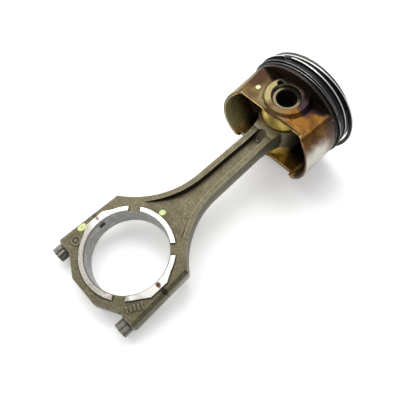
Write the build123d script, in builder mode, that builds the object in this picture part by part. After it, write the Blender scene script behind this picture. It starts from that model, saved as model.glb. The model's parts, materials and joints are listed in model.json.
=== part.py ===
from build123d import *
from math import atan2, cos, degrees, hypot, pi, radians, sin, sqrt, tan
import os

# Piston and connecting rod assembly, taken out of the engine and lying on a flat surface.
#
# Everything is modelled in the rod's own frame: the origin is the centre of the crankpin
# bore, +X runs to the wrist pin and on to the crown, and +Z is the pin and crankpin axis.
# Pieces of the piston are modelled about the pin centre. At the end each piece is laid
# down: the piston swings a little on its pin, and the whole assembly tips about Y until
# it rests on the cap's thrust face and on the piston's lowest ring.

# ---- driving dimensions, mm ----

# connecting rod
rod_length = 155.0          # crankpin centre to wrist pin centre
housing_bore_d = 58.6       # crankpin bore, without its shells
big_end_width = 18.8        # across the machined thrust faces
thrust_step = 1.1           # thrust face above the forging, each side
thrust_ring_w = 4.0         # radial width of the thrust face
thrust_ear_reach = 1.5      # thrust face widens by this at the joint line
thrust_ear_rod = (6.0, 21.0)    # level part and end of that ear, on the rod
thrust_ear_cap = (8.0, 16.0)    # the same on the cap
relief_w = 8.5              # gaps in the thrust face
relief_angle = 41.0         # from the rod's axis
shoulder_x = 20.5           # top of the rod's bolt bosses
shoulder_wall = 0.2         # forging outside the bolt hole there
boss_end_x = 29.5           # end of the cap's bolt bosses, below the crankpin centre
boss_end_wall = 2.2         # forging outside the bolt hole there
seat_cut = 0.7              # machined off under the bolt heads
seat_inner_wall = 3.0       # seat reaches this far inside the bolt hole
cap_wall = 9.3              # thickness of the cap at its flat balance pad
cap_pad_half = 11.6
flank_bevel = 2.2           # bevel along the bolt bosses
draft = 4.0                 # forging draft, degrees
shank_half = 10.0           # half width of the I-beam
shank_neck_half = 9.2       # half width just below the small end
shank_blend_run = 45.7      # length over which the shank widens into the big end
neck_run = 14.5             # length over which it widens into the small end
shank_thick = 14.6          # across the beam's flanges
web_thick = 4.6             # web between the two channels
channel_half = 5.2          # half width of each channel
channel_fan_run = 46.0      # length over which the channel fans out
channel_fan_half = 20.3     # half width of the fan at its end
channel_end_half = 4.3      # half width at the rounded end
channel_end_gap = 6.5       # forging left between the channel's end and the eye
dimple_r = 2.1              # round button in the channel's end
dimple_h = 0.9
bore_chamfer = 0.9
small_end_wall = 6.0        # of the eye, round the bush
small_end_width = 20.6
eye_corner_angle = 140.0    # where the shank's side meets the eye
tang_slot_w = 5.5           # shell locating notch in the bore
tang_slot_length = 4.5
tang_slot_depth = 1.6
tang_slot_z = 4.0
cast_button_at = (-20.5, 31.0)
cast_button_r = 3.6
cast_bars_at = (-20.0, -32.3)
cast_bars_angle = -27.0
cast_relief = 0.45

# bolts, M8 flange bolts with 12-point heads
bolt_d = 8.0
bolt_inner_wall = 1.7       # between a bolt and the crankpin bore
bolt_reach = 20.0           # thread end above the joint line
bolt_flange_w = 2.4         # flange outside the shank
bolt_flange_h = 1.8
bolt_head_af = 9.6          # across the flats of each of the two hexagons
bolt_head_h = 6.2

# bush and wrist pin
pin_d = 22.0
pin_length = 56.6
pin_wall = 4.5
pin_mouth_wall = 3.1        # the bore tapers open to this wall at both ends
pin_taper_length = 12.0
bush_wall = 1.5
pin_chamfer = 0.9
circlip_wire_d = 1.5
circlip_gap = 70.0          # degrees left open

# piston
bore_d = 84.0               # cylinder the piston runs in
compression_height = 28.7   # pin centre to crown
crown_thick = 6.2
crown_dish_d = 52.0
crown_dish_depth = 1.6
valve_pocket_r = 15.0
valve_angle = 9.0
valve_pocket_depth = 1.9
belt_foot = 2.4             # ring belt below the oil ring's groove
belt_wall = 3.6             # behind the ring grooves
skirt_bottom = 22.6         # below the pin centre
skirt_thick = 2.9
skirt_run_gap = 0.04        # radial running clearance of the skirt
land_run_gap = 0.30         # the same on the lands between the rings
panel_rise = 5.8            # lower edge of the side panels above the skirt's
panel_lean = 2.6            # how much further in the panels stand at the ring belt
panel_thick = 3.2
panel_lip_h = 4.0           # thicker lip along the panels' lower edge
panel_lip_proud = 0.7
panel_lip_half = 27.0       # half width of the lip
belt_web_thick = 3.0        # web that closes the belt against the panels
panel_edge_r = 3.0          # rounding between panel and skirt
window_straight_half = 21.5 # half width of the level part of the panels' lower edge
window_slope_half = 29.0    # from here the edge runs down to the skirt's
window_slope_drop = 3.0
window_corner_r = 5.0
boss_wall = 5.6             # of the pin bosses, round the pin
boss_flare = 2.2            # extra radius where a boss meets the panel
boss_proud = 2.6            # boss faces outside the panels' lower edge
boss_rim_r = 1.3
circlip_land = 2.0          # boss outside the circlip's groove
small_end_side_gap = 0.7    # rod to the inner faces of the bosses, each side
strut_half = 12.5           # half width of the ribs that carry the bosses
notch_r = 2.4               # circlip removal notch
notch_reach = 1.2           # its centre outside the pin's bore
notch_depth = 4.0
notch_angle = 64.0          # from the piston's axis
groove_depth = 3.5
top_land_h = 3.0
second_land_h = 2.8
third_land_h = 4.3
drain_hole_d = 2.0
drain_angles = (-40, -20, 20, 40, 140, 160, 200, 220)
crown_chamfer = 0.6
valve_pocket_y = 18.0
valve_pocket_z = 16.0

# rings, in their free state
top_ring_h = 1.2
second_ring_h = 1.2
oil_ring_h = 2.5
rail_h = 0.45
compression_ring_w = 2.9    # radial width
rail_w = 2.1
top_ring_spring = 1.8       # radius outside the cylinder's, before it is squeezed in
second_ring_spring = 0.9
rail_spring = 0.5
expander_inset = 1.3        # expander inside the cylinder's radius
expander_w = 2.4
expander_waves = 36
ring_gap_w = 7.0            # free gap between the ends
ring_flank_gap = 0.05       # axial clearance in the groove, each side

# fits
pin_run_gap = 0.02          # radial, wrist pin in its bosses and bush
bolt_hole_gap = 0.15        # radial, bolt in the cap
thread_gap = 0.05           # radial, bolt thread in the rod
circlip_end_gap = 0.15      # circlip to the pin's end, and its wire's line outside the pin's bore

# how it lies
piston_swing = 1.8          # degrees that the piston is swung on its pin
top_ring_shift = (-2.0, -1.25)      # ring centres off the piston's axis, along Y and Z
second_ring_shift = (0.5, 0.6)
upper_rail_shift = (0.85, 0.45)
lower_rail_shift = (-0.75, 0.45)

top_gap_angle = -130.0      # where each ring's gap stands, from +Y towards +Z
second_gap_angle = 65.0
upper_gap_angle = 150.0
lower_gap_angle = -35.0

# ---- derived dimensions ----
bore_r = housing_bore_d / 2
forging_half = big_end_width / 2 - thrust_step
thrust_r = bore_r + thrust_ring_w
thrust_ear_half = thrust_r + thrust_ear_reach
bolt_r = bolt_d / 2
bolt_half_spacing = bore_r + bolt_inner_wall + bolt_r
bolt_flange_r = bolt_r + bolt_flange_w
bolt_seat_x = boss_end_x - seat_cut
shoulder_half = bolt_half_spacing + bolt_r + shoulder_wall
boss_end_half = bolt_half_spacing + bolt_r + boss_end_wall
boss_inner_half = bolt_half_spacing - bolt_r - seat_inner_wall
cap_pad_x = bore_r + cap_wall
pin_r = pin_d / 2 - pin_run_gap
pin_bore_r = pin_d / 2
pin_inner_r = pin_d / 2 - pin_wall
pin_mouth_r = pin_d / 2 - pin_mouth_wall
bush_r = pin_d / 2 + bush_wall
small_end_r = bush_r + small_end_wall
shank_blend_x = bore_r + shank_blend_run
neck_x = rod_length - small_end_r - neck_run
channel_fan_x = bore_r + 0.7 * thrust_ring_w
channel_blend_x = channel_fan_x + channel_fan_run
channel_end_x = rod_length - small_end_r - channel_end_gap
cylinder_r = bore_d / 2
skirt_r = cylinder_r - skirt_run_gap
land_r = cylinder_r - land_run_gap
groove_r = land_r - groove_depth
belt_wall_r = groove_r - belt_wall
crown_under = compression_height - crown_thick
top_groove_x = compression_height - top_land_h - top_ring_h - 2 * ring_flank_gap
second_groove_x = top_groove_x - second_land_h - second_ring_h - 2 * ring_flank_gap
oil_groove_x = second_groove_x - third_land_h - oil_ring_h - 2 * ring_flank_gap
belt_bottom = oil_groove_x - belt_foot
top_ring_r = cylinder_r + top_ring_spring
second_ring_r = cylinder_r + second_ring_spring
rail_r = cylinder_r + rail_spring
expander_r = cylinder_r - expander_inset
boss_r = pin_bore_r + boss_wall
boss_gap_half = small_end_width / 2 + small_end_side_gap
circlip_z = pin_length / 2 + circlip_wire_d / 2 + circlip_end_gap
circlip_r = pin_bore_r + circlip_end_gap
boss_face_half = circlip_z + circlip_land
panel_half_span = boss_face_half - boss_proud
panel_bottom = skirt_bottom - panel_rise
notch_offset = pin_bore_r + notch_reach
lean_slope = panel_lean / (crown_under + panel_bottom)
far = 200.0                 # longer than any cut needs


def ear_root(x):
    """Half width of the thrust face's circle at x, a little inside it."""
    return sqrt(thrust_r ** 2 - x ** 2) - 0.1


eye_corner = (rod_length + small_end_r * cos(radians(eye_corner_angle)),
              small_end_r * sin(radians(eye_corner_angle)))


# ---- rod and cap, forged as one piece and split through the crankpin bore ----
with BuildPart() as channel:
    with BuildSketch(Plane.XY):
        with BuildLine():
            end_top = (channel_end_x, channel_end_half)
            RadiusArc(end_top, (channel_end_x, -channel_end_half), channel_end_half)
            Line(end_top, (channel_blend_x, channel_half))
            TangentArc((channel_blend_x, channel_half), (channel_fan_x, channel_fan_half), tangent=(-1, 0))
            Line((channel_fan_x, channel_fan_half), (channel_fan_x, 0))
            Line((channel_end_x, -channel_end_half), (channel_blend_x, -channel_half))
            TangentArc((channel_blend_x, -channel_half), (channel_fan_x, -channel_fan_half), tangent=(-1, 0))
            Line((channel_fan_x, -channel_fan_half), (channel_fan_x, 0))
        make_face()
    extrude(amount=small_end_width)
    with BuildSketch(Plane.XZ):
        with BuildLine():
            floor = web_thick / 2
            fan_mid_x = channel_fan_x + 0.35 * channel_fan_run
            fan_foot_x = channel_fan_x + 0.74 * channel_fan_run
            ThreePointArc((channel_fan_x, forging_half + 0.1), (fan_mid_x, floor + 1.5), (fan_foot_x, floor))
            Line((fan_foot_x, floor), (channel_end_x - 3, floor))
            Line((channel_end_x - 3, floor), (channel_end_x + 6, small_end_width / 2))
            Line((channel_end_x + 6, small_end_width / 2), (channel_end_x + 6, small_end_width))
            Line((channel_end_x + 6, small_end_width), (channel_fan_x, small_end_width))
            Line((channel_fan_x, small_end_width), (channel_fan_x, forging_half + 0.1))
        make_face()
    extrude(amount=far, both=True, mode=Mode.INTERSECT)

with BuildPart() as forging:
    with BuildSketch(Plane.XY):
        with BuildLine():
            Line((rod_length, 0), (rod_length, eye_corner[1]))
            Line((rod_length, eye_corner[1]), eye_corner)
            TangentArc((neck_x, shank_neck_half), eye_corner, tangent=(1, 0))
            Line((neck_x, shank_neck_half), (shank_blend_x, shank_half))
            TangentArc((shank_blend_x, shank_half), (shoulder_x + 1.5, shoulder_half - 1.2), tangent=(-1, 0))
            Line((shoulder_x + 1.5, shoulder_half - 1.2), (shoulder_x, shoulder_half))
            Line((shoulder_x, shoulder_half), (-boss_end_x, boss_end_half))
            Line((-boss_end_x, boss_end_half), (-boss_end_x, boss_inner_half))
            Line((-boss_end_x, boss_inner_half), (-cap_pad_x, cap_pad_half))
            Line((-cap_pad_x, cap_pad_half), (-cap_pad_x, 0))
            mirror(about=Plane.XZ)
        make_face()
    extrude(amount=small_end_width / 2, both=True, taper=draft)
    with BuildSketch(Plane.XZ):
        with BuildLine():
            Polyline((-cap_pad_x - 5, 0), (-cap_pad_x - 5, forging_half), (channel_fan_x, forging_half),
                     (shank_blend_x - 15, shank_thick / 2), (neck_x - 2, shank_thick / 2),
                     (rod_length - small_end_r + 1, small_end_width / 2 - 0.5),
                     (rod_length, small_end_width / 2 - 0.5), (rod_length, 0))
            mirror(about=Plane.XZ)
        make_face()
    extrude(amount=far, both=True, mode=Mode.INTERSECT)
    # the eye of the small end
    with BuildSketch(Plane.XY.offset(-small_end_width / 2)):
        with Locations((rod_length, 0)):
            Circle(small_end_r)
    extrude(amount=small_end_width)
    # beams, with a round button at the end of each channel
    add(channel.part, mode=Mode.SUBTRACT)
    mirror(channel.part, about=Plane.XY, mode=Mode.SUBTRACT)
    with BuildSketch(Plane.XY.offset(-web_thick / 2 - dimple_h)):
        with Locations((channel_end_x - dimple_r, 0)):
            Circle(dimple_r)
    extrude(amount=web_thick + 2 * dimple_h)
    # bevels along the bolt bosses
    draft_inset = forging_half * tan(radians(draft))
    for side in (1, -1):
        flank_run = (shoulder_x + boss_end_x, side * (shoulder_half - boss_end_half), 0)
        flank_plane = Plane(origin=(-boss_end_x, side * boss_end_half, 0), x_dir=(0, 0, 1), z_dir=flank_run)
        for face in (1, -1):
            with BuildSketch(flank_plane):
                with BuildLine():
                    Polyline((face * (forging_half + 1), side * (draft_inset + flank_bevel + 1)),
                             (face * (forging_half + 1), side * (draft_inset - 3)),
                             (face * (forging_half - flank_bevel - 3), side * (draft_inset - 3)), close=True)
                make_face()
            extrude(amount=hypot(flank_run[0], flank_run[1]), mode=Mode.SUBTRACT)
    # machined thrust faces, with relief gaps
    with BuildSketch(Plane.XY.offset(-big_end_width / 2)):
        Circle(thrust_r)
        for side in (1, -1):
            with BuildLine():
                Polyline((thrust_ear_rod[1], 0), (thrust_ear_rod[1], side * ear_root(thrust_ear_rod[1])),
                         (thrust_ear_rod[0], side * thrust_ear_half), (-thrust_ear_cap[0], side * thrust_ear_half),
                         (-thrust_ear_cap[1], side * ear_root(thrust_ear_cap[1])), (-thrust_ear_cap[1], 0),
                         close=True)
            make_face()
        for angle in (relief_angle, -relief_angle, 180 + relief_angle):
            with Locations(Location((bore_r * cos(radians(angle)), bore_r * sin(radians(angle)), 0), angle)):
                Rectangle(4 * thrust_ring_w, relief_w, mode=Mode.SUBTRACT)
    extrude(amount=big_end_width)
    # crankpin bore, chamfered at both ends, and the bush's bore
    with BuildSketch(Plane.XY.offset(-small_end_width)):
        Circle(bore_r)
        with Locations((rod_length, 0)):
            Circle(bush_r)
    extrude(amount=2 * small_end_width, mode=Mode.SUBTRACT)
    with Locations((0, 0, big_end_width / 2 - bore_chamfer / 2)):
        Cone(bore_r, bore_r + bore_chamfer, bore_chamfer, mode=Mode.SUBTRACT)
    with Locations((0, 0, bore_chamfer / 2 - big_end_width / 2)):
        Cone(bore_r + bore_chamfer, bore_r, bore_chamfer, mode=Mode.SUBTRACT)
    # shell locating notch across the joint line
    with Locations((0, bore_r, tang_slot_z)):
        Box(tang_slot_length, 2 * tang_slot_depth, tang_slot_w, mode=Mode.SUBTRACT)
    # bolt holes and the machined seats under the heads
    for side in (1, -1):
        with BuildSketch(Plane.YZ.offset(-boss_end_x - bolt_head_h)):
            with Locations((side * bolt_half_spacing, 0)):
                Circle(bolt_r + bolt_hole_gap)
        extrude(amount=boss_end_x + bolt_head_h, mode=Mode.SUBTRACT)
        with BuildSketch(Plane.YZ):
            with Locations((side * bolt_half_spacing, 0)):
                Circle(bolt_r + thread_gap)
        extrude(amount=bolt_reach + 1, mode=Mode.SUBTRACT)
        with BuildSketch(Plane.YZ.offset(-bolt_seat_x)):
            with Locations((side * (boss_inner_half - 1 + boss_end_half), 0)):
                Rectangle(2 * boss_end_half, 2 * small_end_width)
        extrude(amount=-2 * bolt_flange_h, mode=Mode.SUBTRACT)
    # plain cast button and tally bars on the cap's flanks
    with BuildSketch(Plane.XY.offset(forging_half)):
        with Locations(cast_button_at):
            Circle(cast_button_r)
            Circle(cast_button_r - 1.1, mode=Mode.SUBTRACT)
            Circle(1.2)
        with Locations(Location((*cast_bars_at, 0), cast_bars_angle)):
            with GridLocations(2.6, 1, 5, 1):
                Rectangle(1.1, 4.2)
    extrude(amount=cast_relief)

with BuildPart() as connecting_rod:
    add(forging.part)
    split(bisect_by=Plane.YZ, keep=Keep.TOP)

with BuildPart() as rod_cap:
    add(forging.part)
    split(bisect_by=Plane.YZ, keep=Keep.BOTTOM)


# ---- rod bolts ----
def rod_bolt(side):
    """A 12-point flange bolt, entering from the cap and threaded into the rod."""
    with BuildPart() as bolt:
        with BuildSketch(Plane.XY):
            with BuildLine():
                Polyline((bolt_reach, 0), (bolt_reach, bolt_r - 1), (bolt_reach - 1, bolt_r),
                         (-bolt_seat_x, bolt_r), (-bolt_seat_x, bolt_flange_r),
                         (-bolt_seat_x - 0.7, bolt_flange_r),
                         (-bolt_seat_x - bolt_flange_h, bolt_head_af / 2), (-bolt_seat_x - bolt_flange_h, 0),
                         close=True)
            make_face()
        revolve(axis=Axis.X)
        with BuildSketch(Plane.YZ.offset(-bolt_seat_x - bolt_flange_h)):
            RegularPolygon(bolt_head_af / 2, 6, major_radius=False)
            RegularPolygon(bolt_head_af / 2, 6, major_radius=False, rotation=30)
        extrude(amount=-bolt_head_h)
        # countersunk hollow in the head
        with Locations(Location((-bolt_seat_x - bolt_flange_h - bolt_head_h + 0.6, 0, 0), (0, -90, 0))):
            Cone(bolt_r * 0.55, bolt_r * 0.7, 1.2, mode=Mode.SUBTRACT)
    return Pos(0, side * bolt_half_spacing, 0) * bolt.part


# ---- small end bush and wrist pin ----
with BuildPart() as small_end_bush:
    with BuildSketch(Plane.XY.offset(-small_end_width / 2)):
        with Locations((rod_length, 0)):
            Circle(bush_r)
            Circle(pin_bore_r, mode=Mode.SUBTRACT)
    extrude(amount=small_end_width)

with BuildPart() as wrist_pin:
    with BuildSketch(Plane.XZ):
        with BuildLine():
            Polyline((pin_inner_r, 0), (pin_r, 0), (pin_r, pin_length / 2 - pin_chamfer),
                     (pin_r - pin_chamfer, pin_length / 2), (pin_mouth_r, pin_length / 2),
                     (pin_inner_r, pin_length / 2 - pin_taper_length), close=True)
        make_face()
        mirror(about=Plane.XZ)
    revolve(axis=Axis.Z)


def circlip(side):
    """Round wire ring that holds the pin in, with its ends towards the removal notch."""
    with BuildPart() as clip:
        with BuildSketch(Plane.XZ):
            with Locations((circlip_r, side * circlip_z)):
                Circle(circlip_wire_d / 2)
        revolve(axis=Axis.Z, revolution_arc=360 - circlip_gap)
    return Rot(0, 0, 180 + circlip_gap / 2) * clip.part


# ---- piston, about the pin centre ----
with BuildPart() as panels:
    for side in (1, -1):
        with BuildSketch(Plane.XZ):
            with BuildLine():
                Polyline((-panel_bottom, side * panel_half_span),
                         (crown_under, side * (panel_half_span - panel_lean)),
                         (crown_under, side * (panel_half_span - panel_lean - panel_thick)),
                         (-panel_bottom, side * (panel_half_span - panel_thick)), close=True)
            make_face()
        extrude(amount=far, both=True)
        # lip along the lower edge, with a sloping shoulder
        with BuildSketch(Plane.XZ):
            with BuildLine():
                lip_x = panel_lip_h - panel_bottom
                lip_base = panel_half_span - lean_slope * panel_lip_h
                Polyline((-panel_bottom, side * (panel_half_span - panel_thick)),
                         (-panel_bottom, side * (panel_half_span + panel_lip_proud)),
                         (lip_x, side * (lip_base + panel_lip_proud)),
                         (lip_x + 2 * panel_lip_proud, side * (lip_base - panel_thick / 2)), close=True)
            make_face()
        extrude(amount=panel_lip_half, both=True)
        # web between the belt and the panel
        with BuildSketch(Plane.YZ.offset(belt_bottom)):
            with Locations((0, side * (far + panel_half_span - panel_lean - panel_thick))):
                Rectangle(2 * far, 2 * far)
        extrude(amount=belt_web_thick)
    with BuildSketch(Plane.YZ.offset(-far)):
        Circle(land_r)
    extrude(amount=2 * far, mode=Mode.INTERSECT)

with BuildPart() as bosses:
    # a turned boss that flares where it meets the panel, one for each side
    with BuildSketch(Plane.XZ):
        with BuildLine():
            Polyline((0, boss_gap_half), (boss_r, boss_gap_half), (boss_r, panel_half_span - panel_thick),
                     (boss_r + boss_flare, panel_half_span - panel_thick / 2),
                     (boss_r, boss_face_half - boss_rim_r))
            RadiusArc((boss_r, boss_face_half - boss_rim_r), (boss_r - boss_rim_r, boss_face_half), -boss_rim_r)
            Polyline((boss_r - boss_rim_r, boss_face_half), (0, boss_face_half), (0, boss_gap_half))
        make_face()
    revolve(axis=Axis.Z)
    mirror(about=Plane.XY)
    # ribs up to the crown
    for side in (1, -1):
        with BuildSketch(Plane.YZ):
            with Locations((0, side * (boss_gap_half + panel_half_span - panel_lean) / 2)):
                Rectangle(2 * strut_half, panel_half_span - panel_lean - boss_gap_half)
        extrude(amount=crown_under + 1)
    with BuildSketch(Plane.YZ.offset(-far)):
        Circle(land_r)
    extrude(amount=2 * far, mode=Mode.INTERSECT)

with BuildPart() as piston:
    # crown, ring belt and skirt, turned about the piston's axis
    with BuildSketch(Plane.XY):
        with BuildLine():
            Polyline((-skirt_bottom, skirt_r - skirt_thick + 0.7), (-skirt_bottom, skirt_r - 0.5),
                     (-skirt_bottom + 1.2, skirt_r), (belt_bottom - 1.8, skirt_r),
                     (belt_bottom - 1.8, skirt_r - 1.1), (belt_bottom, skirt_r - 1.1),
                     (belt_bottom, land_r), (compression_height - crown_chamfer, land_r),
                     (compression_height, land_r - crown_chamfer), (compression_height, 0), (crown_under, 0),
                     (crown_under, belt_wall_r - 4), (crown_under - 4, belt_wall_r),
                     (belt_bottom, belt_wall_r), (belt_bottom - 7, skirt_r - skirt_thick),
                     (-skirt_bottom + 6, skirt_r - skirt_thick), close=True)
        make_face()
    revolve(axis=Axis.X)
    # the sides are cut back to flat panels below the ring belt
    for side in (1, -1):
        with BuildSketch(Plane.XZ):
            with BuildLine():
                foot_x = -skirt_bottom - 5
                Polyline((foot_x, side * (panel_half_span - lean_slope * (foot_x + panel_bottom))),
                         (belt_bottom, side * (panel_half_span - lean_slope * (belt_bottom + panel_bottom))),
                         (belt_bottom, side * far), (foot_x, side * far), close=True)
            make_face()
        extrude(amount=far, both=True, mode=Mode.SUBTRACT)
    panel_edges = piston.edges().filter_by(lambda edge: edge.bounding_box().size.X > skirt_bottom
                                           and abs(edge.center().Z) > panel_half_span - panel_lean
                                           and abs(edge.center().Y) > panel_thick)
    fillet(panel_edges, radius=panel_edge_r)
    add(panels.part)
    # raised lower edge between the skirts
    with BuildSketch(Plane.XY):
        with BuildLine():
            window_edge = FilletPolyline((-panel_bottom, 0), (-panel_bottom, window_straight_half),
                                         (-panel_bottom - window_slope_drop, window_slope_half),
                                         (-skirt_bottom, skirt_r), radius=window_corner_r)
            Polyline(window_edge @ 1, (-skirt_bottom - 5, skirt_r), (-skirt_bottom - 5, 0))
            mirror(about=Plane.XZ)
        make_face()
    extrude(amount=far, both=True, mode=Mode.SUBTRACT)
    add(bosses.part)
    # pin bore, circlip grooves and removal notches
    with BuildSketch(Plane.XY.offset(-far / 2)):
        Circle(pin_bore_r)
    extrude(amount=far, mode=Mode.SUBTRACT)
    for side in (1, -1):
        with BuildSketch(Plane.XY.offset(side * circlip_z - circlip_wire_d / 2 - 0.05)):
            Circle(circlip_r + circlip_wire_d / 2 - 0.02)
        extrude(amount=circlip_wire_d + 0.1, mode=Mode.SUBTRACT)
        with BuildSketch(Plane.XY.offset(side * boss_face_half)):
            with Locations((notch_offset * cos(radians(notch_angle)), notch_offset * sin(radians(notch_angle)))):
                Circle(notch_r)
        extrude(amount=-side * notch_depth, mode=Mode.SUBTRACT)
        with Locations(Location((0, 0, side * (boss_face_half - 0.4)), (0, 90 - side * 90, 0))):
            Cone(pin_bore_r, pin_bore_r + 0.8, 0.8, mode=Mode.SUBTRACT)
    # ring grooves
    for groove_x, groove_h in ((top_groove_x, top_ring_h), (second_groove_x, second_ring_h),
                               (oil_groove_x, oil_ring_h)):
        with BuildSketch(Plane.YZ.offset(groove_x)):
            Circle(land_r + 1)
            Circle(groove_r, mode=Mode.SUBTRACT)
        extrude(amount=groove_h + 2 * ring_flank_gap, mode=Mode.SUBTRACT)
    # oil drain holes behind the oil ring
    for angle in drain_angles:
        outward = (0, cos(radians(angle)), sin(radians(angle)))
        hole_centre = (oil_groove_x + oil_ring_h / 2 + ring_flank_gap,
                       groove_r * outward[1], groove_r * outward[2])
        with BuildSketch(Plane(origin=hole_centre, z_dir=outward)):
            Circle(drain_hole_d / 2)
        extrude(amount=-6, mode=Mode.SUBTRACT)
    # shallow dish and valve pockets in the crown
    with BuildSketch(Plane.YZ.offset(compression_height)):
        Circle(crown_dish_d / 2)
    extrude(amount=-crown_dish_depth, taper=20, mode=Mode.SUBTRACT)
    for side in (1, -1):
        for pocket_z in (valve_pocket_z, -valve_pocket_z):
            pocket_plane = Plane(origin=(compression_height, side * valve_pocket_y, pocket_z),
                                 z_dir=(1, side * tan(radians(valve_angle)), 0))
            with BuildSketch(pocket_plane.offset(-valve_pocket_depth)):
                Circle(valve_pocket_r)
            extrude(amount=valve_pocket_r, mode=Mode.SUBTRACT)


def ring(inner_r, outer_r, height, base_x, shift, gap_angle, gap_w=ring_gap_w):
    """A split ring about its own centre, which stands off the piston's axis."""
    with BuildPart() as ring_part:
        with BuildSketch(Plane.YZ.offset(base_x)):
            with Locations(shift):
                Circle(outer_r)
                Circle(inner_r, mode=Mode.SUBTRACT)
            mid_r = (inner_r + outer_r) / 2
            with Locations(Location((shift[0] + mid_r * cos(radians(gap_angle)),
                                     shift[1] + mid_r * sin(radians(gap_angle)), 0), gap_angle)):
                Rectangle(outer_r - inner_r + 2, gap_w, mode=Mode.SUBTRACT)
        extrude(amount=height)
    return ring_part.part


with BuildPart() as oil_expander:
    with BuildSketch(Plane.YZ.offset(oil_groove_x + rail_h + 2 * ring_flank_gap)):
        Circle(expander_r)
        Circle(expander_r - expander_w, mode=Mode.SUBTRACT)
        with PolarLocations(expander_r, expander_waves):
            Rectangle(expander_w, 0.45 * 2 * pi * expander_r / expander_waves, mode=Mode.SUBTRACT)
    extrude(amount=oil_ring_h - 2 * rail_h - 2 * ring_flank_gap)

# ---- lay the pieces down and write them ----
rest_slope = max((land_r - big_end_width / 2) / (rod_length + belt_bottom + thrust_r),
                 (top_ring_r - top_ring_shift[1] - big_end_width / 2) / (rod_length + top_groove_x + thrust_r))
lay_down = Rot(0, -degrees(atan2(rest_slope, 1)), 0)
on_pin = lay_down * Pos(rod_length, 0, 0) * Rot(0, 0, piston_swing)

os.makedirs("parts", exist_ok=True)


def write(piece, name, place):
    """Put a piece in its resting place, label it and write it."""
    resting = place * piece
    resting.label = name
    export_step(resting, f"parts/{name}.step")


write(connecting_rod.part, "connecting_rod", lay_down)
write(rod_cap.part, "rod_cap", lay_down)
write(rod_bolt(1), "rod_bolt_left", lay_down)
write(rod_bolt(-1), "rod_bolt_right", lay_down)
write(small_end_bush.part, "small_end_bush", lay_down)
write(wrist_pin.part, "wrist_pin", on_pin)
write(circlip(1), "circlip_front", on_pin)
write(circlip(-1), "circlip_rear", on_pin)
write(piston.part, "piston", on_pin)
write(ring(top_ring_r - compression_ring_w, top_ring_r, top_ring_h, top_groove_x + ring_flank_gap,
           top_ring_shift, top_gap_angle), "top_ring", on_pin)
write(ring(second_ring_r - compression_ring_w, second_ring_r, second_ring_h, second_groove_x + ring_flank_gap,
           second_ring_shift, second_gap_angle), "second_ring", on_pin)
write(ring(rail_r - rail_w, rail_r, rail_h, oil_groove_x + ring_flank_gap / 2,
           lower_rail_shift, lower_gap_angle), "oil_rail_lower", on_pin)
write(ring(rail_r - rail_w, rail_r, rail_h, oil_groove_x + oil_ring_h + 1.5 * ring_flank_gap - rail_h,
           upper_rail_shift, upper_gap_angle), "oil_rail_upper", on_pin)
write(oil_expander.part, "oil_expander", on_pin)
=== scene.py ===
import json
import math

import bmesh
import bpy
from mathutils import Matrix, Vector, noise
from mathutils.bvhtree import BVHTree


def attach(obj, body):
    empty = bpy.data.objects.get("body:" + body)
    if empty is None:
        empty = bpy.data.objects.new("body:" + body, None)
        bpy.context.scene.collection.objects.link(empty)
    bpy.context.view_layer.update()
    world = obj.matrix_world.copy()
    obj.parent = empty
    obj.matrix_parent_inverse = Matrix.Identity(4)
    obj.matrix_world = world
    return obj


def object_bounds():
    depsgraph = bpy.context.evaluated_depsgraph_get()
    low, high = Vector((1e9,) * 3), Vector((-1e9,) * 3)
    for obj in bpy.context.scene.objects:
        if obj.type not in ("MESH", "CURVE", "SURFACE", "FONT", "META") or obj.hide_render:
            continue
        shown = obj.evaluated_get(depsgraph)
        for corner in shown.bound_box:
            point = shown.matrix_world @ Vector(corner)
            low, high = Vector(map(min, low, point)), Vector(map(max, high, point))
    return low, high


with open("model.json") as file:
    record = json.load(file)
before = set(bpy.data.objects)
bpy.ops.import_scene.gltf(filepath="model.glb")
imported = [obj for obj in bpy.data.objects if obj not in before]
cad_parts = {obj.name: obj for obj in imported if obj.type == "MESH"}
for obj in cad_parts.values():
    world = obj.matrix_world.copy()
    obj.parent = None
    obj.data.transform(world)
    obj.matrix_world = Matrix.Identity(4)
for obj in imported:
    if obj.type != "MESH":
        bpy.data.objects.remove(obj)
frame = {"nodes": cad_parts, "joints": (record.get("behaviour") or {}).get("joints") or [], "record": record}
cad_box = [list(corner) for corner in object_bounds()]
nodes = frame["nodes"]
record = frame["record"]

# ---- where things are, from the frame and its record: row frame, metres ----
mounts = {mount["name"]: mount for mount in record["mounts"]}
joints = {joint["name"]: joint for joint in frame["joints"]}
pin_axis = Vector(mounts["crankpin_bore"]["axis"])
piston_axis = Vector(mounts["cylinder_slide"]["axis"])
pin_centre = Vector(joints["piston_swing"]["pos_m"])
rod_axis = pin_centre.normalized()
rod_length = pin_centre.length
bore_r = mounts["crankpin_bore"]["dims"]["r_mm"]        # in mm, like all sizes below it
mm = 0.001

# where one finish gives way to another, mm, in the rod's and the piston's own frames
ground_z = 8.95             # the rod is ground beyond this from its middle plane
eye_x = 122.5               # ground faces beyond this belong to the small end
cap_stain_x = -22.0         # stains cover the cap's thrust face from here on
bare_reach = 2.0            # bare metal outside the bore's radius, for the shell's notch
bare_z = 8.0                # and that only this near the middle plane
skirt_r = 41.3              # outside this are the skirts' turned surfaces
cavity_r = 40.5             # inside this is the piston's hollow
panel_z = 27.05             # half way through the side panels, at their lower edge
panel_foot_x = -16.8        # where that edge is
panel_lean = 0.066          # how fast the panels come in towards the crown
boss_r = 15.35              # outside this are the bosses' round surfaces
belt_x = 9.1                # ring belt and the step below it
lands_x = 11.15             # the ring belt's underside
lands_r = 37.75             # outside this are its lands and groove floors
crown_x = 26.3              # soot from here up
ring_face_r = 40.8          # rings are polished outside this
pin_end_z = 27.5            # the pin's ends are oily beyond this
pin_hollow_r = 7.85         # inside this is the pin's bore

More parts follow.
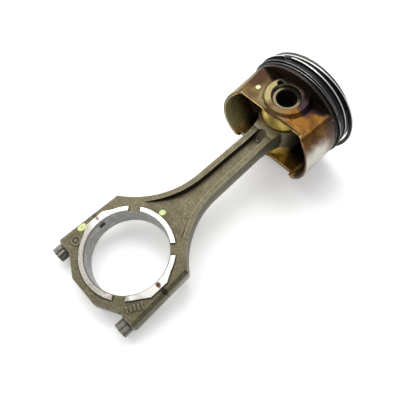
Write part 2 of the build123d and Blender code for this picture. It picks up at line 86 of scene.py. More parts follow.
# matrices from the rod's and the piston's own frames, in mm, to the row frame, in metres
rod_y = pin_axis.cross(rod_axis)
piston_y = pin_axis.cross(piston_axis)


def own_frame(origin, x_axis, y_axis, z_axis):
    turn = Matrix((x_axis, y_axis, z_axis)).transposed().to_4x4()
    return Matrix.Translation(origin) @ turn @ Matrix.Scale(mm, 4)


rod_frame = own_frame(Vector((0, 0, 0)), rod_axis, rod_y, pin_axis)
piston_frame = own_frame(pin_centre, piston_axis, piston_y, pin_axis)


# ---- shader helpers ----
class Shader:
    """A material being built, with short calls for the nodes it needs."""

    def __init__(self, name, own=None):
        self.material = bpy.data.materials.new(name)
        self.material.use_nodes = True
        self.tree = self.material.node_tree
        self.bsdf = self.tree.nodes["Principled BSDF"]
        place = self.add("ShaderNodeTexCoord").outputs["Object"]
        to_own = (own or Matrix.Scale(mm, 4)).inverted()
        mapping = self.add("ShaderNodeMapping")
        mapping.inputs["Location"].default_value = to_own.to_translation()
        mapping.inputs["Rotation"].default_value = to_own.to_euler()
        mapping.inputs["Scale"].default_value = to_own.to_scale()
        self.link(place, mapping.inputs["Vector"])
        self.place = mapping.outputs["Vector"]
        split = self.add("ShaderNodeSeparateXYZ")
        self.link(self.place, split.inputs[0])
        self.x, self.y, self.z = split.outputs

    def add(self, kind):
        return self.tree.nodes.new(kind)

    def link(self, out, socket):
        self.tree.links.new(out, socket)

    def feed(self, socket, value):
        if isinstance(value, bpy.types.NodeSocket):
            self.link(value, socket)
        else:
            socket.default_value = value

    def math(self, operation, a, b=0.0, clamp=False):
        node = self.add("ShaderNodeMath")
        node.operation = operation
        node.use_clamp = clamp
        self.feed(node.inputs[0], a)
        self.feed(node.inputs[1], b)
        return node.outputs[0]

    def times(self, a, b):
        return self.math("MULTIPLY", a, b)

    def plus(self, a, b):
        return self.math("ADD", a, b)

    def size(self, a):
        return self.math("ABSOLUTE", a)

    def either(self, a, b):
        return self.math("MAXIMUM", a, b)

    def invert(self, a):
        return self.math("SUBTRACT", 1.0, a)

    def step(self, value, low, high):
        """0 below low, 1 above high, smooth between; high may be the smaller."""
        node = self.add("ShaderNodeMapRange")
        node.interpolation_type = "SMOOTHSTEP"
        flip = high < low
        self.feed(node.inputs["Value"], value)
        node.inputs["From Min"].default_value = min(low, high)
        node.inputs["From Max"].default_value = max(low, high)
        node.inputs["To Min"].default_value = 1.0 if flip else 0.0
        node.inputs["To Max"].default_value = 0.0 if flip else 1.0
        return node.outputs["Result"]

    def band(self, value, low, high, soft):
        rise = self.step(value, low - soft, low + soft)
        return self.times(rise, self.step(value, high + soft, high - soft))

    def radius(self, a, b):
        return self.math("SQRT", self.plus(self.times(a, a), self.times(b, b)))

    def noise(self, scale, detail=4.0, rough=0.55, place=None, warp=0.0):
        node = self.add("ShaderNodeTexNoise")
        self.link(place or self.place, node.inputs["Vector"])
        node.inputs["Scale"].default_value = scale
        node.inputs["Detail"].default_value = detail
        node.inputs["Roughness"].default_value = rough
        node.inputs["Distortion"].default_value = warp
        return node.outputs["Fac"]

    def stretched(self, scale):
        """The place, stretched, for streaks and brush marks."""
        node = self.add("ShaderNodeVectorMath")
        node.operation = "MULTIPLY"
        self.link(self.place, node.inputs[0])
        node.inputs[1].default_value = scale
        return node.outputs[0]

    def shaken(self, scale, amount):
        """The place, pushed about by noise, so that patches get ragged edges."""
        node = self.add("ShaderNodeTexNoise")
        node.inputs["Scale"].default_value = scale
        node.inputs["Detail"].default_value = 3.0
        self.link(self.place, node.inputs["Vector"])
        centre = self.add("ShaderNodeVectorMath")
        centre.operation = "SUBTRACT"
        self.link(node.outputs["Color"], centre.inputs[0])
        centre.inputs[1].default_value = (0.5, 0.5, 0.5)
        push = self.add("ShaderNodeVectorMath")
        push.operation = "SCALE"
        self.link(centre.outputs[0], push.inputs[0])
        push.inputs["Scale"].default_value = amount
        total = self.add("ShaderNodeVectorMath")
        total.operation = "ADD"
        self.link(self.place, total.inputs[0])
        self.link(push.outputs[0], total.inputs[1])
        return total.outputs[0]

    def spot(self, centre, radii, place, inner=0.55, outer=1.0):
        """1 inside an ellipsoid about a point, fading out at its edge."""
        node = self.add("ShaderNodeVectorMath")
        node.operation = "SUBTRACT"
        self.link(place, node.inputs[0])
        node.inputs[1].default_value = centre
        scaled = self.add("ShaderNodeVectorMath")
        scaled.operation = "DIVIDE"
        self.link(node.outputs[0], scaled.inputs[0])
        scaled.inputs[1].default_value = radii
        length = self.add("ShaderNodeVectorMath")
        length.operation = "LENGTH"
        self.link(scaled.outputs[0], length.inputs[0])
        return self.step(length.outputs["Value"], outer, inner)

    def mix(self, share, a, b, blend="MIX"):
        node = self.add("ShaderNodeMix")
        node.data_type = "RGBA"
        node.blend_type = blend
        node.clamp_factor = True
        self.feed(node.inputs[0], share)
        for socket, value in ((node.inputs[6], a), (node.inputs[7], b)):
            if isinstance(value, tuple):
                value = (*value, 1.0)
            self.feed(socket, value)
        return node.outputs[2]

    def lerp(self, share, a, b):
        node = self.add("ShaderNodeMix")
        node.clamp_factor = True
        self.feed(node.inputs[0], share)
        self.feed(node.inputs[2], a)
        self.feed(node.inputs[3], b)
        return node.outputs[0]

    def hollow(self, distance, inside=False):
        """Ambient occlusion: low in corners, or with inside=True low at sharp outer edges."""
        node = self.add("ShaderNodeAmbientOcclusion")
        node.samples = 8
        node.inside = inside
        node.inputs["Distance"].default_value = distance * mm
        return node.outputs["AO"]

    def bump(self, heights, rounding=0.0):
        """Bump from (height socket, depth in mm) pairs, over rounded edges."""
        normal = None
        if rounding:
            bevel = self.add("ShaderNodeBevel")
            bevel.samples = 6
            bevel.inputs["Radius"].default_value = rounding * mm
            normal = bevel.outputs["Normal"]
        for height, depth in heights:
            node = self.add("ShaderNodeBump")
            node.inputs["Distance"].default_value = depth * mm
            self.link(height, node.inputs["Height"])
            if normal is not None:
                self.link(normal, node.inputs["Normal"])
            normal = node.outputs["Normal"]
        self.link(normal, self.bsdf.inputs["Normal"])

    def finish(self, colour, metal, rough, **constants):
        if isinstance(colour, tuple):
            colour = (*colour, 1.0)
        self.feed(self.bsdf.inputs["Base Color"], colour)
        self.feed(self.bsdf.inputs["Metallic"], metal)
        self.feed(self.bsdf.inputs["Roughness"], rough)
        for name, value in constants.items():
            self.bsdf.inputs[name.replace("_", " ")].default_value = value
        return self.material


# ---- materials ----
def forged_steel():
    """Shot-blasted forging, with ground thrust faces, a bare bore and stains at the joint line."""
    s = Shader("forged_steel", rod_frame)
    from_bore = s.radius(s.x, s.y)
    height = s.size(s.z)
    grain = s.noise(3.2, 6.0, 0.7)
    mottle = s.noise(0.16, 5.0, 0.6, warp=0.6)
    blotch = s.noise(0.055, 3.0, 0.5)
    pits = s.step(s.noise(1.5, 2.0, 0.5), 0.66, 0.74)
    scale_tone = s.mix(s.step(mottle, 0.3, 0.7), (0.074, 0.062, 0.032), (0.145, 0.126, 0.074))
    scale_tone = s.mix(s.times(s.step(blotch, 0.4, 0.65), 0.4), scale_tone, (0.105, 0.092, 0.050))
    scale_tone = s.mix(s.times(s.step(grain, 0.3, 0.7), 0.6), scale_tone, (0.190, 0.172, 0.118))
    speckle = s.noise(0.85, 4.0, 0.7)
    scale_tone = s.mix(s.times(s.step(speckle, 0.58, 0.40), 0.40), scale_tone, (0.055, 0.046, 0.026))
    scale_tone = s.mix(s.times(s.step(speckle, 0.54, 0.70), 0.38), scale_tone, (0.300, 0.272, 0.190))
    scale_tone = s.mix(s.times(pits, 0.75), scale_tone, (0.045, 0.036, 0.022))
    # painted shade: the colour darkens in corners, where ambient occlusion is low
    corner = s.step(s.hollow(2.2), 0.85, 0.35)
    scale_tone = s.mix(s.times(corner, 0.45), scale_tone, (0.040, 0.030, 0.018))
    # painted shade: the colour darkens further in narrow creases, such as round the cast marks
    crease_shade = s.step(s.hollow(1.5), 0.97, 0.70)
    scale_tone = s.mix(s.times(crease_shade, 0.85), scale_tone, (0.028, 0.022, 0.015))
    edge = s.step(s.hollow(1.2, inside=True), 0.85, 0.40)
    worn = s.times(edge, s.step(s.noise(0.9, 4.0), 0.2, 0.6))
    scale_tone = s.mix(s.times(worn, 0.5), scale_tone, (0.46, 0.43, 0.34))

    # ground faces: big end and small end
    ground = s.step(height, ground_z - 0.1, ground_z + 0.1)
    swirl = s.noise(1.0, 3.0, 0.6, s.stretched((0.35, 0.35, 0.05)))
    lines = s.noise(9.0, 2.0, 0.5, s.stretched((0.12, 1.0, 0.1)))
    ground_tone = s.mix(s.times(lines, 0.35), (0.72, 0.71, 0.68), (0.56, 0.55, 0.52))
    across = s.plus(s.x, s.times(s.y, -0.55))
    far_side = s.step(across, cap_stain_x + 5.0, cap_stain_x - 5.0)
    patches = s.times(s.step(s.x, -2.0, cap_stain_x), s.step(mottle, 0.42, 0.62))
    dirty = s.either(s.times(far_side, 0.8), patches)
    ground_tone = s.mix(dirty, ground_tone, s.mix(grain, (0.24, 0.22, 0.185), (0.44, 0.42, 0.37)))
    specks = s.times(s.step(s.x, 0.0, -18.0), s.step(s.noise(1.3, 3.0, 0.6), 0.54, 0.64))
    ground_tone = s.mix(s.times(specks, 0.75), ground_tone, (0.115, 0.080, 0.055))
    eye = s.step(s.x, eye_x - 2.5, eye_x + 2.5)
    ground_tone = s.mix(eye, ground_tone, (0.20, 0.18, 0.12))
    ground_tone = s.mix(s.times(s.step(swirl, 0.45, 0.6), 0.12), ground_tone, (0.30, 0.29, 0.26))

    # bare bore, streaked round its axis
    in_bore = s.step(from_bore, bore_r + 0.35, bore_r + 0.15)
    bare_r = bore_r + bare_reach
    near_middle = s.step(height, bare_z + 0.1, bare_z - 0.1)
    in_notch = s.times(s.step(from_bore, bare_r + 0.1, bare_r - 0.1), near_middle)
    in_bore = s.either(in_bore, in_notch)
    streak = s.noise(0.5, 5.0, 0.65, s.stretched((0.35, 0.35, 2.6)))
    patch = s.noise(0.22, 4.0, 0.6, warp=0.8)
    bore_tone = s.mix(s.step(streak, 0.3, 0.7), (0.20, 0.195, 0.19), (0.40, 0.395, 0.385))
    bore_tone = s.mix(s.times(s.step(patch, 0.5, 0.7), 0.6), bore_tone, (0.55, 0.545, 0.53))
    bore_tone = s.mix(s.times(s.step(s.noise(0.8, 4.0), 0.6, 0.72), 0.5), bore_tone, (0.11, 0.10, 0.095))

    colour = s.mix(ground, scale_tone, ground_tone)
    colour = s.mix(in_bore, colour, bore_tone)

    # brown stains on the thrust faces at the joint line, dark ones below them, and the line itself
    ragged = s.shaken(0.9, 1.3)
    brown = s.spot((0.7, -31.9, 9.0), (2.0, 2.7, 3.0), ragged)
    brown = s.either(brown, s.times(s.spot((0.4, 33.2, 9.0), (1.7, 2.4, 3.0), ragged), 0.75))
    colour = s.mix(s.times(brown, 0.97), colour, (0.085, 0.026, 0.006))
    dark = s.spot((0.7, -37.2, 7.5), (2.4, 3.2, 6.0), ragged)
    dark = s.either(dark, s.spot((0.8, -40.6, 4.0), (1.7, 2.4, 5.0), ragged))
    dark = s.either(dark, s.spot((-0.1, 38.2, 7.0), (1.8, 3.0, 6.0), ragged))
    colour = s.mix(s.times(dark, 0.92), colour, (0.024, 0.010, 0.011))
    split = s.times(s.step(s.size(s.x), 0.16, 0.05), s.step(from_bore, bore_r - 1.0, bore_r - 0.5))
    colour = s.mix(s.times(split, 0.8), colour, (0.03, 0.02, 0.018))

    rough = s.lerp(s.times(grain, 0.5), 0.40, 0.58)
    rough = s.lerp(worn, rough, 0.30)
    rough = s.lerp(ground, rough, s.lerp(dirty, 0.34, 0.5))
    rough = s.lerp(in_bore, rough, s.lerp(streak, 0.32, 0.55))
    raw = s.invert(s.either(ground, in_bore))
    s.bump([(s.times(grain, raw), 0.10), (s.times(mottle, raw), 0.55), (s.times(lines, ground), 0.006),
            (s.times(streak, in_bore), 0.02)], rounding=0.45)
    return s.finish(colour, 0.86, rough)


# patches on the piston, dark near the belt and amber towards the skirt: centre in the piston's own frame,
# radii, strength and colour
piston_patches = [
    ((9.0, 14.0, 27.5), (6.0, 13.0, 7.0), 0.95, (0.014, 0.009, 0.010)),
    ((1.0, 28.0, 27.5), (13.0, 9.0, 9.0), 0.90, (0.045, 0.018, 0.009)),
    ((4.0, -14.0, 30.0), (11.0, 10.0, 9.0), 0.96, (0.020, 0.009, 0.014)),
    ((8.0, -22.0, 28.0), (5.0, 9.0, 9.0), 0.92, (0.016, 0.009, 0.012)),
    ((13.0, 0.0, 31.0), (6.0, 15.0, 8.0), 0.90, (0.060, 0.027, 0.015)),
    ((-9.0, -20.0, 29.0), (7.0, 9.0, 9.0), 0.75, (0.190, 0.078, 0.008)),
    ((-14.0, -6.0, 29.0), (5.0, 9.0, 9.0), 0.60, (0.125, 0.068, 0.030)),
]


def piston_alloy():
    """Aluminium with baked-on oil: gold, amber and purple varnish, carbon on the lands and crown."""
    s = Shader("piston_alloy", piston_frame)
    out = s.radius(s.y, s.z)
    side = s.size(s.z)
    from_pin = s.radius(s.x, s.y)
    ragged = s.shaken(0.13, 5.0)
    cloud = s.noise(0.10, 5.0, 0.6, warp=0.7)
    grain = s.noise(1.6, 4.0, 0.6)
    fleck = s.step(s.noise(0.9, 3.0, 0.6), 0.62, 0.72)

    # panels and bosses: gold on the left, amber on the right, dark near the belt
    gold = s.mix(s.step(cloud, 0.35, 0.65), (0.072, 0.038, 0.012), (0.125, 0.084, 0.028))
    amber = s.mix(s.step(cloud, 0.38, 0.62), (0.092, 0.034, 0.003), (0.185, 0.082, 0.009))
    olive = s.mix(grain, (0.170, 0.136, 0.052), (0.270, 0.228, 0.105))
    colour = s.mix(s.step(s.y, -3.0, -12.0), gold, amber)
    for centre, radii, share, tone in piston_patches:
        for face in (1, -1):
            patch = s.spot((centre[0], centre[1], face * centre[2]), radii, ragged)
            colour = s.mix(s.times(patch, share), colour, tone)
    for face in (1, -1):
        boss = s.spot((-3.5, 11.5, face * 31.0), (15.0, 9.5, 7.0), ragged)
        colour = s.mix(s.times(boss, 0.9), colour, olive)

    # skirts: varnish near the belt and the panels, bare and finely turned where they ran in the bore
    skirt = s.step(out, skirt_r - 0.3, skirt_r + 0.3)
    bare = s.mix(grain, (0.46, 0.44, 0.39), (0.58, 0.56, 0.50))
    run_in = s.times(s.step(side, 27.0, 6.0), s.step(s.x, 11.0, -12.0))
    fade = s.step(s.plus(run_in, s.times(s.math("SUBTRACT", cloud, 0.5), 0.5)), 0.05, 0.75)
    scuffs = s.noise(1.2, 3.0, 0.6, s.stretched((0.06, 1.0, 1.0)))
    bare = s.mix(s.times(s.step(scuffs, 0.42, 0.66), 0.6), bare, (0.27, 0.25, 0.21))
    below_belt = s.mix(s.step(s.y, 0.0, -5.0), olive, amber)
    skirt_tone = s.mix(s.step(s.x, -4.0, 8.0), below_belt, (0.060, 0.028, 0.014))
    skirt_tone = s.mix(fade, skirt_tone, bare)
    colour = s.mix(skirt, colour, skirt_tone)

    # inside: brown oil, olive on the left skirt, yellow under the bosses
    leaning = s.plus(side, s.times(s.plus(s.x, -panel_foot_x), panel_lean))
    outer_wall = s.step(out, cavity_r - 0.3, cavity_r + 0.3)
    outside = s.either(s.step(leaning, panel_z - 0.35, panel_z + 0.35), outer_wall)
    inner = s.mix(s.step(cloud, 0.3, 0.7), (0.030, 0.018, 0.013), (0.095, 0.062, 0.030))
    left_skirt = s.times(s.step(s.y, 24.0, 34.0), s.step(s.x, 0.0, -14.0))
    inner = s.mix(left_skirt, inner, (0.27, 0.24, 0.11))
    below_boss = s.times(s.step(from_pin, boss_r - 0.85, boss_r + 0.85), s.step(s.x, -2.0, -9.0))
    under = s.times(s.band(side, 10.5, 28.5, 0.6), below_boss)
    lobe = s.mix(s.step(cloud, 0.35, 0.65), (0.56, 0.40, 0.06), (0.85, 0.68, 0.20))
    inner = s.mix(s.times(under, s.step(s.size(s.y), 19.0, 15.0)), inner, lobe)
    wet = s.times(s.step(side, 21.0, 25.5), s.step(s.x, -4.0, -13.0))
    wet_oil = s.mix(s.step(cloud, 0.4, 0.6), (0.34, 0.17, 0.03), (0.68, 0.44, 0.12))
    inner = s.mix(s.times(wet, 0.8), inner, wet_oil)
    colour = s.mix(outside, inner, colour)

    # belt, lands and crown
    belt = s.times(s.step(s.x, belt_x - 0.5, belt_x + 0.5), s.step(out, 30.0, 33.0))
    belt_tone = s.mix(grain, (0.020, 0.013, 0.011), (0.060, 0.038, 0.026))
    colour = s.mix(s.times(belt, outside), colour, belt_tone)
    lands = s.times(s.step(s.x, lands_x - 0.15, lands_x + 0.15), s.step(out, lands_r - 0.25, lands_r + 0.25))
    land_tone = s.mix(s.step(cloud, 0.35, 0.65), (0.006, 0.007, 0.011), (0.020, 0.015, 0.017))
    land_tone = s.mix(s.times(s.step(s.x, 20.0, 11.5), 0.6), land_tone, (0.028, 0.020, 0.015))
    colour = s.mix(lands, colour, land_tone)
    crown = s.step(s.x, crown_x - 0.3, crown_x + 0.3)
    soot = s.mix(s.step(cloud, 0.3, 0.7), (0.010, 0.009, 0.008), (0.060, 0.048, 0.036))
    soot = s.mix(s.times(s.step(s.noise(0.35, 5.0, 0.7), 0.55, 0.7), 0.7), soot, (0.16, 0.125, 0.085))
    colour = s.mix(crown, colour, soot)

    # corners are darkened by painted shade, with dark oil; outer edges are rubbed bright
    corner = s.step(s.hollow(3.0), 0.80, 0.30)
    colour = s.mix(s.times(corner, 0.4), colour, (0.030, 0.018, 0.010))
    edge = s.step(s.hollow(0.8, inside=True), 0.70, 0.40)
    clean_edge = s.times(edge, s.invert(s.either(lands, crown)))
    worn = s.times(clean_edge, s.step(s.noise(0.7, 3.0), 0.28, 0.55))
    colour = s.mix(s.times(worn, 0.7), colour, (0.46, 0.42, 0.27))
    colour = s.mix(s.times(fleck, s.times(s.invert(outside), 0.5)), colour, (0.012, 0.007, 0.004))

    metal = s.lerp(s.either(crown, s.times(lands, 0.35)), 0.84, 0.05)
    metal = s.lerp(fade, metal, s.lerp(skirt, metal, 0.95))
    rough = s.lerp(grain, 0.32, 0.46)
    rough = s.lerp(s.times(skirt, fade), rough, 0.30)
    rough = s.lerp(lands, s.lerp(crown, rough, 0.80), 0.42)
    turning = s.add("ShaderNodeTexWave")
    turning.bands_direction = "X"
    turning.inputs["Scale"].default_value = 1.25
    turning.inputs["Distortion"].default_value = 0.4
    s.link(s.place, turning.inputs["Vector"])
    ridges = turning.outputs["Fac"]
    turned = s.either(skirt, lands)
    cast = s.invert(turned)
    turned_inside = s.times(s.invert(outside), s.step(out, 37.0, 38.8))
    s.bump([(s.times(ridges, turned), 0.014), (s.times(ridges, turned_inside), 0.05),
            (s.times(cloud, cast), 0.5), (s.times(grain, cast), 0.05)], rounding=0.5)
    return s.finish(colour, metal, rough, Coat_Weight=0.03, Coat_Roughness=0.12)


def ring_steel(name, node, highlight_face_tone, flank_tone):
    """A piston ring: a line round its outer face is polished by the cylinder and painted nearly white as a
    painted highlight, the rest is dull with oil.
    """
    s = Shader(name, piston_frame)
    along = [piston_axis.dot(vertex.co - pin_centre) / mm for vertex in nodes[node].data.vertices]
    ring_x = 0.5 * (min(along) + max(along))
    half_height = 0.5 * (max(along) - min(along))
    # painted highlight: a narrow nearly white band round the outer face stands in for the light caught by its
    # rounded face
    polished = s.step(s.size(s.plus(s.x, -ring_x)), 0.85 * half_height, 0.55 * half_height)
    out = s.step(s.radius(s.y, s.z), ring_face_r - 0.2, ring_face_r + 0.2)
    grain = s.noise(1.4, 5.0, 0.65)
    streak = s.noise(0.12, 4.0, 0.6)
    face = s.mix(s.step(streak, 0.4, 0.65), highlight_face_tone, tuple(0.8 * c for c in highlight_face_tone))
    dull = s.mix(s.step(grain, 0.35, 0.7), flank_tone, tuple(0.6 * c for c in flank_tone))
    line = s.times(polished, out)
    rough = s.lerp(line, s.lerp(grain, 0.3, 0.42), 0.36)
    s.bump([(grain, 0.004)], rounding=0.12)
    return s.finish(s.mix(line, dull, face), s.lerp(line, 0.85, 0.45), rough)


def plain_steel(name, own, dark, light, scale, rough, depth, rounding, grime_and_shade=0.6):
    """Steel with mottling, grime and painted shade in its corners, and rubbed edges."""
    s = Shader(name, own)
    mottle = s.noise(scale, 6.0, 0.65, warp=0.4)
    grain = s.noise(scale * 6, 3.0, 0.6)
    colour = s.mix(s.step(mottle, 0.3, 0.7), dark, light)
    # painted shade, with grime: the colour darkens in corners, where ambient occlusion is low
    corner = s.step(s.hollow(1.6), 0.85, 0.35)
    colour = s.mix(s.times(corner, grime_and_shade), colour, (0.022, 0.018, 0.013))
    edge = s.step(s.hollow(0.5, inside=True), 0.72, 0.42)
    colour = s.mix(s.times(edge, 0.55), colour, (0.72, 0.71, 0.67))
    s.bump([(grain, depth)], rounding=rounding)
    return s.finish(colour, 0.92, s.lerp(s.step(mottle, 0.3, 0.7), rough, rough + 0.16))


def wrist_pin_steel():
    """Ground and hardened pin, with dark oil down its bore."""
    s = Shader("wrist_pin_steel", piston_frame)
    from_pin = s.radius(s.x, s.y)
    inside = s.step(from_pin, pin_hollow_r + 0.25, pin_hollow_r - 0.25)
    grain = s.noise(1.2, 5.0, 0.6)
    ring_marks = s.noise(2.0, 3.0, 0.5, s.stretched((1.0, 1.0, 0.2)))
    tone = s.mix(s.times(ring_marks, 0.5), (0.42, 0.40, 0.35), (0.26, 0.235, 0.18))
    at_end = s.step(s.size(s.z), pin_end_z - 0.5, pin_end_z + 0.5)
    tone = s.mix(at_end, tone, s.mix(grain, (0.050, 0.038, 0.022), (0.12, 0.095, 0.06)))
    tone = s.mix(inside, tone, s.mix(grain, (0.030, 0.022, 0.016), (0.085, 0.068, 0.048)))
    s.bump([(grain, 0.02)], rounding=0.25)
    return s.finish(tone, 0.9, s.lerp(inside, s.lerp(grain, 0.2, 0.36), 0.5))


def bush_bronze():
    """Bronze bush, worn bright inside."""
    s = Shader("bush_bronze", rod_frame)
    grain = s.noise(0.9, 5.0, 0.6)
    tone = s.mix(s.step(grain, 0.35, 0.65), (0.36, 0.20, 0.075), (0.58, 0.37, 0.16))
    # painted shade: the colour darkens in corners, where ambient occlusion is low
    tone = s.mix(s.times(s.step(s.hollow(1.5), 0.8, 0.3), 0.6), tone, (0.05, 0.03, 0.015))
    s.bump([(grain, 0.02)], rounding=0.2)
    return s.finish(tone, 0.95, s.lerp(grain, 0.26, 0.42))


def paint(name, own, centre, radii, tone, shade_and_scratch_tone, heart):
    """A dab of marking paint: darker at its edge, a painted shade, and scratched at its heart."""
    s = Shader(name, own)
    grain = s.noise(1.1, 4.0, 0.6)
    ragged = s.shaken(1.2, 0.7)
    far = 90.0
    body = s.spot((*centre, 0.0), (radii[0], radii[1], far), ragged, 0.78, 0.98)
    # painted shade: the dab darkens towards its edge; the same dark tone shows in its scratches
    colour = s.mix(body, shade_and_scratch_tone, s.mix(s.times(grain, 0.4), tone, tuple(0.8 * c for c in tone)))
    scratch = s.spot((*centre, 0.0), (0.4 * radii[0], 0.16 * radii[1], far), ragged, 0.3, 1.0)
    colour = s.mix(s.times(scratch, heart), colour, shade_and_scratch_tone)
    s.bump([(grain, 0.06)])
    return s.finish(colour, 0.0, s.lerp(grain, 0.35, 0.55))


def floor_paper():
    """Matte white table that glows a little, so that shadows on it stay pale."""
    s = Shader("floor_paper")
    cloud = s.noise(0.006, 3.0, 0.5)
    fibre = s.noise(0.7, 3.0, 0.6)
    s.bump([(fibre, 0.03)])
    return s.finish(s.mix(cloud, (0.93, 0.93, 0.935), (0.95, 0.95, 0.95)), 0.0, 0.75,
                    Emission_Color=(1.0, 1.0, 1.0, 1.0), Emission_Strength=0.30)


def clothe(node, material):
    data = nodes[node].data
    data.materials.clear()
    data.materials.append(material)


steel = forged_steel()
clothe("connecting_rod", steel)
clothe("rod_cap", steel)
clothe("piston", piston_alloy())
bolt_steel = plain_steel("bolt_steel", rod_frame, (0.11, 0.105, 0.088), (0.26, 0.25, 0.22),
                         scale=0.5, rough=0.30, depth=0.03, rounding=0.3, grime_and_shade=0.9)
clothe("rod_bolt_left", bolt_steel)
clothe("rod_bolt_right", bolt_steel)
clothe("small_end_bush", bush_bronze())
clothe("wrist_pin", wrist_pin_steel())
spring_steel = plain_steel("spring_steel", piston_frame, (0.05, 0.045, 0.04), (0.16, 0.15, 0.13),
                           scale=0.8, rough=0.3, depth=0.01, rounding=0.1)
clothe("circlip_front", spring_steel)
clothe("circlip_rear", spring_steel)
# the nearly white face tones make the painted highlight on the rings
for ring, name, highlight_face_tone, flank_tone in (
        ("top_ring", "top_ring_steel", (0.86, 0.85, 0.84), (0.085, 0.080, 0.078)),
        ("second_ring", "second_ring_iron", (0.84, 0.82, 0.81), (0.075, 0.070, 0.066)),
        ("oil_rail_upper", "oil_rail_upper_steel", (0.42, 0.42, 0.43), (0.060, 0.052, 0.042)),
        ("oil_rail_lower", "oil_rail_lower_steel", (0.42, 0.42, 0.43), (0.060, 0.052, 0.042))):
    clothe(ring, ring_steel(name, ring, highlight_face_tone, flank_tone))
clothe("oil_expander", plain_steel("expander_steel", piston_frame, (0.05, 0.035, 0.02), (0.13, 0.10, 0.07),
                                   scale=0.6, rough=0.4, depth=0.02, rounding=0.1))


# ---- dabs of marking paint, laid on the surface below them ----
def surface(names):
    """The meshes of these nodes as one tree to look down onto."""
    points, faces = [], []
    for name in names:
        data = nodes[name].data
        first = len(points)
        points += [vertex.co.copy() for vertex in data.vertices]
        faces += [[first + index for index in polygon.vertices] for polygon in data.polygons]
    return BVHTree.FromPolygons(points, faces)


def dab(name, own, centre, radii, below, material, body, seed):
    """A thin blob of paint with a ragged outline, draped over the surface under it."""
    tree = surface(below)
    down = -(own.to_3x3() @ Vector((0, 0, 1))).normalized()
    rings, spokes = 9, 48
    skin = 0.03 * mm            # how far its underside sinks into the part
    thick = 0.16 * mm
    overhead = 40               # mm above the part's middle, clear of all of it
    tops, feet = [], []
    for ring in range(rings + 1):
        share = ring / rings
        for spoke in range(spokes):
            angle = 2 * math.pi * spoke / spokes
            wobble = noise.noise(Vector((1.6 * math.cos(angle), 1.6 * math.sin(angle), seed)))
            reach = share * (1 + 0.22 * wobble)
            local = Vector((radii[0] * reach * math.cos(angle), radii[1] * reach * math.sin(angle), 0))
            start = own @ Vector((centre[0] + local.x, centre[1] + local.y, overhead))
            hit = tree.ray_cast(start, down)[0]
            lift = thick * (1 - share ** 5) * (1 + 0.3 * noise.noise(Vector((local.x, local.y, seed + 9))))
            tops.append(hit - down * (lift + skin))
            feet.append(hit + down * skin)
    faces = []
    for ring in range(rings):
        for spoke in range(spokes):
            a = ring * spokes + spoke
            b = ring * spokes + (spoke + 1) % spokes
            faces.append((a, b, b + spokes, a + spokes))
    count = len(tops)
    under = [tuple(count + index for index in reversed(face)) for face in faces]
    wall = []
    for spoke in range(spokes):
        a = rings * spokes + spoke
        b = rings * spokes + (spoke + 1) % spokes
        wall.append((a, b, count + b, count + a))
    data = bpy.data.meshes.new(name)
    data.from_pydata([*tops, *feet], [], faces + under + wall)
    data.validate()
    data.materials.append(material)
    piece = bpy.data.objects.new(name, data)
    bpy.context.scene.collection.objects.link(piece)
    clean(piece)
    for polygon in data.polygons:
        polygon.use_smooth = True
    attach(piece, body)


def clean(piece):
    """Joins the points that coincide at the middle of a dab, and turns its faces outwards."""
    mesh = bmesh.new()
    mesh.from_mesh(piece.data)
    bmesh.ops.remove_doubles(mesh, verts=mesh.verts, dist=1e-7)
    bmesh.ops.dissolve_degenerate(mesh, edges=mesh.edges, dist=1e-8)
    bmesh.ops.recalc_face_normals(mesh, faces=mesh.faces)
    mesh.to_mesh(piece.data)
    mesh.free()


lime, cream = (0.70, 0.79, 0.33), (0.80, 0.76, 0.44)
big_end = ["connecting_rod", "rod_cap"]
# name, frame, centre and radii in mm, colour, dark tone of the edge (painted shade) and of the scratches, how
# scratched, what it lies on, body
dabs = [
    ("paint_dab_fan", rod_frame, (36.3, 5.1), (2.7, 2.4), lime, (0.33, 0.37, 0.12), 0.0, big_end, "rod"),
    ("paint_dab_cap", rod_frame, (-11.5, 36.0), (3.7, 2.8), lime, (0.20, 0.20, 0.07), 0.8, big_end, "rod"),
    ("paint_dab_panel", piston_frame, (-6.2, 21.8), (2.6, 2.1), cream, (0.05, 0.03, 0.02), 0.0, ["piston"],
     "piston"),
]
for name, own, centre, radii, tone, shade_and_scratch_tone, heart, below, body in dabs:
    dab(name, own, centre, radii, below, paint(name, own, centre, radii, tone, shade_and_scratch_tone, heart), body, sum(centre))

# ---- floor, light and camera ----
low, high = (Vector(corner) for corner in cad_box)
middle = (low + high) / 2
floor_reach = 6.0
corners = [(middle.x + a * floor_reach, middle.y + b * floor_reach, low.z)
           for a, b in ((-1, -1), (1, -1), (1, 1), (-1, 1))]
floor_mesh = bpy.data.meshes.new("floor")
floor_mesh.from_pydata(corners, [], [(0, 1, 2, 3)])
floor_mesh.materials.append(floor_paper())
floor = bpy.data.objects.new("floor", floor_mesh)
bpy.context.scene.collection.objects.link(floor)


def direction(azimuth, elevation):
    """From the object towards a place round it: azimuth 0 is at -Y, and 90 is at +X."""
    return Vector((math.sin(azimuth) * math.cos(elevation), -math.cos(azimuth) * math.cos(elevation),
                   math.sin(elevation)))


def softbox(name, azimuth, elevation, distance, size, power, tone):
    """A square light that faces the middle of the object."""
    data = bpy.data.lights.new(name, "AREA")
    data.shape = "SQUARE"
    data.size = size
    data.energy = power
    data.color = tone
    lamp = bpy.data.objects.new(name, data)
    away = direction(azimuth, elevation)
    lamp.location = middle + away * distance
    lamp.rotation_euler = away.to_track_quat("Z", "Y").to_euler()
    bpy.context.scene.collection.objects.link(lamp)


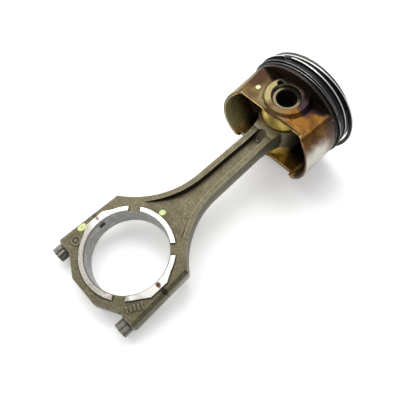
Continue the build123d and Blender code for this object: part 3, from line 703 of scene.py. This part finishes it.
def studio_world():
    """White studio, half as bright on the -Y side, and plain white where the camera sees it."""
    world = bpy.data.worlds.new("studio")
    bpy.context.scene.world = world
    world.use_nodes = True
    tree = world.node_tree
    place = tree.nodes.new("ShaderNodeTexCoord")
    apart = tree.nodes.new("ShaderNodeSeparateXYZ")
    ramp = tree.nodes.new("ShaderNodeValToRGB")
    ramp.color_ramp.elements[0].color = (0.50, 0.50, 0.50, 1)
    ramp.color_ramp.elements[1].color = (1.0, 1.0, 1.0, 1)
    walls = tree.nodes["Background"]
    walls.inputs["Strength"].default_value = 0.92
    seen = tree.nodes.new("ShaderNodeBackground")
    seen.inputs["Color"].default_value = (1, 1, 1, 1)
    path = tree.nodes.new("ShaderNodeLightPath")
    pick = tree.nodes.new("ShaderNodeMixShader")
    tree.links.new(place.outputs["Generated"], apart.inputs[0])
    tree.links.new(apart.outputs["Y"], ramp.inputs["Fac"])
    tree.links.new(ramp.outputs["Color"], walls.inputs["Color"])
    tree.links.new(path.outputs["Is Camera Ray"], pick.inputs["Fac"])
    tree.links.new(walls.outputs[0], pick.inputs[1])
    tree.links.new(seen.outputs[0], pick.inputs[2])
    tree.links.new(pick.outputs[0], tree.nodes["World Output"].inputs["Surface"])


softbox("key", math.radians(175), math.radians(50), distance=1.5, size=1.3, power=15.0,
        tone=(1.0, 0.985, 0.96))
softbox("top", math.radians(120), math.radians(66), distance=1.6, size=0.7, power=6.0,
        tone=(1.0, 1.0, 1.0))
studio_world()

view_azimuth = math.radians(310.78)
view_elevation = math.radians(60.08)
view_roll = math.radians(6.96)
view_distance = 0.321
aim_share = 0.439           # of the way from the crankpin to the wrist pin
aim = rod_axis * (aim_share * rod_length)
aim.z = 0.0
camera_data = bpy.data.cameras.new("camera")
camera_data.sensor_width = 36.0
camera_data.lens = 38.34
camera_data.clip_start = 0.01
camera = bpy.data.objects.new("camera", camera_data)
away = direction(view_azimuth, view_elevation)
upright = away.to_track_quat("Z", "Y").to_matrix().to_4x4()
roll = Matrix.Rotation(view_roll, 4, "Z")
camera.matrix_world = Matrix.Translation(aim + away * view_distance) @ upright @ roll
bpy.context.scene.collection.objects.link(camera)
bpy.context.scene.camera = camera
bpy.context.scene.view_settings.view_transform = "Standard"
